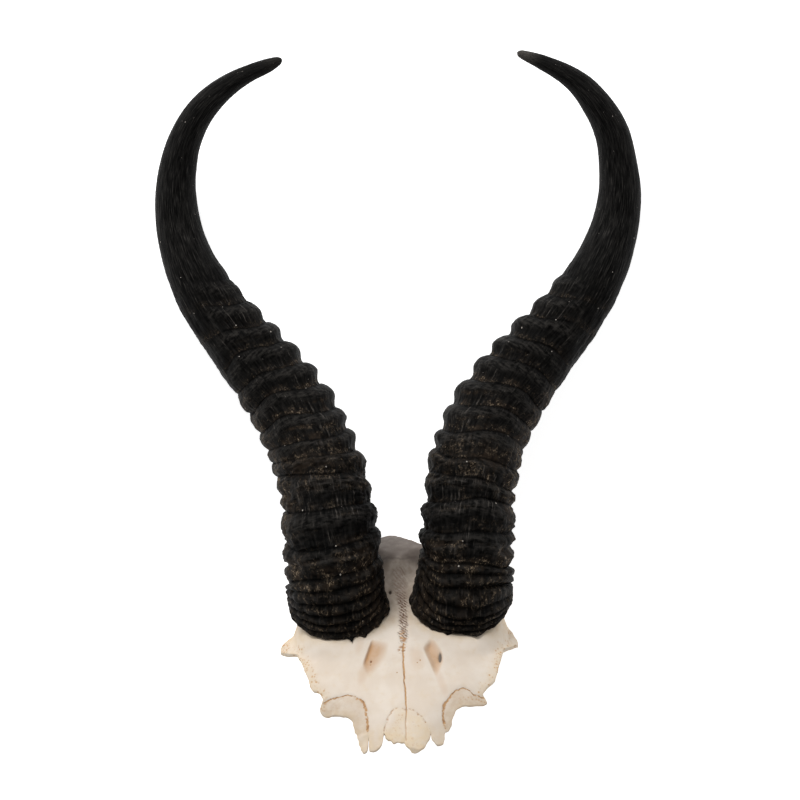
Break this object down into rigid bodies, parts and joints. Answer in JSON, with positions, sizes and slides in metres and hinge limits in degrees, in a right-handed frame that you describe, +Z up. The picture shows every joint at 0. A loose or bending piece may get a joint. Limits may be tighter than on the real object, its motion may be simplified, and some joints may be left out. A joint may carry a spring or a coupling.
{
  "type": "springbok skull plate",
  "caption": "Sawn-off skull roof of a springbok ram with its ringed, lyre-shaped horns, laid on its back; shown on a shelf or fixed to a board by its sawn face.",
  "frame": {"origin": "under the middle of the object's outline, on the level surface it lies on", "axes": "+X across the skull to the right-hand horn of the picture, +Y from the nose end to the horn tips, +Z up, out of the face"},
  "size_m": [0.2176, 0.3037, 0.1016],
  "materials": {
    "bone": "dry, cleaned bone, matt, cream with tan pits and orange-brown sutures",
    "horn": "near-black horn sheath, satin, ringed, with brown dirt in its creases"
  },
  "bodies": {
    "root": {"skull_plate": "bone", "left_horn": "horn", "right_horn": "horn"}
  },
  "joints": []
}
